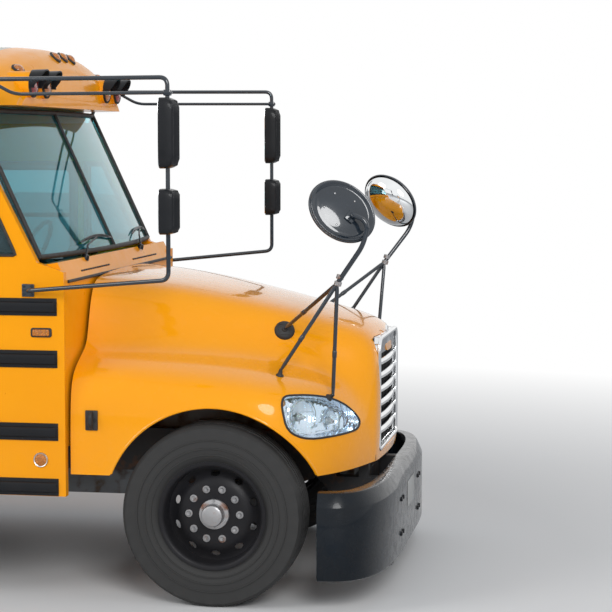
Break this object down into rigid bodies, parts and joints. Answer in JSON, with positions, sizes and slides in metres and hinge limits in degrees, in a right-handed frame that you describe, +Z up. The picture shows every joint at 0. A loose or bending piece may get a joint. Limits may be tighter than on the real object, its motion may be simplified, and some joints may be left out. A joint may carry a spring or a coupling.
{
  "type": "conventional school bus",
  "caption": "Long-nosed yellow school bus with tilting hood, steered front wheels, dual rear wheels, folding entry door, rear emergency door, stop arm and roof hatches.",
  "frame": {"origin": "on the ground, under the middle of the bus's length and width", "axes": "+X forward to the front bumper, +Y to the bus's left, +Z up"},
  "size_m": [11.2, 3.01, 3.1423],
  "materials": {
    "hood_paint": "gloss",
    "body_paint": "gloss",
    "cap_paint": "gloss",
    "roof_paint": "gloss",
    "cowl_paint": "gloss",
    "black_paint": "semi-gloss",
    "chassis_paint": "satin",
    "engine_metal": "satin",
    "exhaust_steel": "satin",
    "grille_chrome": "polished",
    "lamp_lens": "clear",
    "clear_glass": "clear",
    "dark_glass": "tinted",
    "mirror_black": "gloss",
    "tyre_rubber": "matte",
    "wheel_paint": "semi-gloss",
    "seat_vinyl": "satin",
    "floor_rubber": "matte",
    "trim_plastic": "matte",
    "stop_red": "gloss",
    "hatch_plastic": "satin"
  },
  "bodies": {
    "bus_body": {"frame_rails": "chassis_paint", "front_axle": "chassis_paint", "rear_axle": "chassis_paint", "drive_shaft": "chassis_paint", "engine_block": "engine_metal", "radiator": "black_paint", "fuel_tank": "black_paint", "exhaust": "exhaust_steel", "front_bumper": "black_paint", "rear_bumper": "black_paint", "floor": "floor_rubber", "cowl": "cowl_paint", "left_wall": "body_paint", "right_wall": "body_paint", "rear_wall": "body_paint", "roof": "roof_paint", "front_cap": "cap_paint", "windshield": "clear_glass", "glass_left": "dark_glass", "glass_right": "dark_glass", "quarter_glass_left": "clear_glass", "quarter_glass_right": "clear_glass", "seats_left": "seat_vinyl", "seats_right": "seat_vinyl", "driver_seat": "seat_vinyl", "steering_wheel": "trim_plastic", "side_mirror_left": "mirror_black", "side_mirror_right": "mirror_black"},
    "knuckle_left": {"knuckle_left": "chassis_paint"},
    "knuckle_right": {"knuckle_right": "chassis_paint"},
    "front_wheel_left": {"front_wheel_left": "wheel_paint", "front_tyre_left": "tyre_rubber"},
    "front_wheel_right": {"front_wheel_right": "wheel_paint", "front_tyre_right": "tyre_rubber"},
    "rear_wheels_left": {"rear_wheels_left": "wheel_paint", "rear_tyre_left_outer": "tyre_rubber", "rear_tyre_left_inner": "tyre_rubber"},
    "rear_wheels_right": {"rear_wheels_right": "wheel_paint", "rear_tyre_right_outer": "tyre_rubber", "rear_tyre_right_inner": "tyre_rubber"},
    "hood": {"hood": "hood_paint", "grille": "grille_chrome", "headlamp_left": "lamp_lens", "headlamp_right": "lamp_lens", "crossview_left": "mirror_black", "crossview_right": "mirror_black"},
    "door_front": {"door_front": "black_paint"},
    "door_rear": {"door_rear": "black_paint"},
    "emergency_door": {"emergency_door": "body_paint"},
    "stop_arm": {"stop_arm": "stop_red"},
    "hatch_front": {"hatch_front": "hatch_plastic"},
    "hatch_rear": {"hatch_rear": "hatch_plastic"}
  },
  "joints": [
    {"name": "steer_left", "type": "hinge", "parent": "bus_body", "child": "knuckle_left", "pos_m": [4.65, 0.8, 0.505], "axis": [0, 0, 1], "range_deg": [-35, 35]},
    {"name": "front_spin_left", "type": "hinge", "parent": "knuckle_left", "child": "front_wheel_left", "pos_m": [4.65, 1.03, 0.505], "axis": [0, 1, 0], "continuous": true},
    {"name": "rear_spin_left", "type": "hinge", "parent": "bus_body", "child": "rear_wheels_left", "pos_m": [-1.9, 0.885, 0.505], "axis": [0, 1, 0], "continuous": true},
    {"name": "steer_right", "type": "hinge", "parent": "bus_body", "child": "knuckle_right", "pos_m": [4.65, -0.8, 0.505], "axis": [0, 0, 1], "range_deg": [-35, 35]},
    {"name": "front_spin_right", "type": "hinge", "parent": "knuckle_right", "child": "front_wheel_right", "pos_m": [4.65, -1.03, 0.505], "axis": [0, 1, 0], "continuous": true},
    {"name": "rear_spin_right", "type": "hinge", "parent": "bus_body", "child": "rear_wheels_right", "pos_m": [-1.9, -0.885, 0.505], "axis": [0, 1, 0], "continuous": true},
    {"name": "hood_tilt", "type": "hinge", "parent": "bus_body", "child": "hood", "pos_m": [5.38, 0, 0.72], "axis": [0, 1, 0], "range_deg": [0, 60]},
    {"name": "door_front_swing", "type": "hinge", "parent": "bus_body", "child": "door_front", "pos_m": [3.163, -1.212, 0.419], "axis": [0, 0, 1], "range_deg": [0, 88]},
    {"name": "door_rear_swing", "type": "hinge", "parent": "bus_body", "child": "door_rear", "pos_m": [2.437, -1.212, 0.419], "axis": [0, 0, 1], "range_deg": [-88, 0]},
    {"name": "emergency_swing", "type": "hinge", "parent": "bus_body", "child": "emergency_door", "pos_m": [-5.442, -0.383, 0.959], "axis": [0, 0, 1], "range_deg": [0, 110]},
    {"name": "stop_arm_swing", "type": "hinge", "parent": "bus_body", "child": "stop_arm", "pos_m": [2.75, 1.242, 1.42], "axis": [0, 0, -1], "range_deg": [0, 90]},
    {"name": "hatch_front_lift", "type": "hinge", "parent": "bus_body", "child": "hatch_front", "pos_m": [1.31, 0, 3.1123], "axis": [0, 1, 0], "range_deg": [0, 75]},
    {"name": "hatch_rear_lift", "type": "hinge", "parent": "bus_body", "child": "hatch_rear", "pos_m": [-2.69, 0, 3.1123], "axis": [0, 1, 0], "range_deg": [0, 75]}
  ],
  "couplings": [
    {"joint": "steer_right", "follows": "steer_left", "ratio": 1},
    {"joint": "door_rear_swing", "follows": "door_front_swing", "ratio": -1}
  ]
}
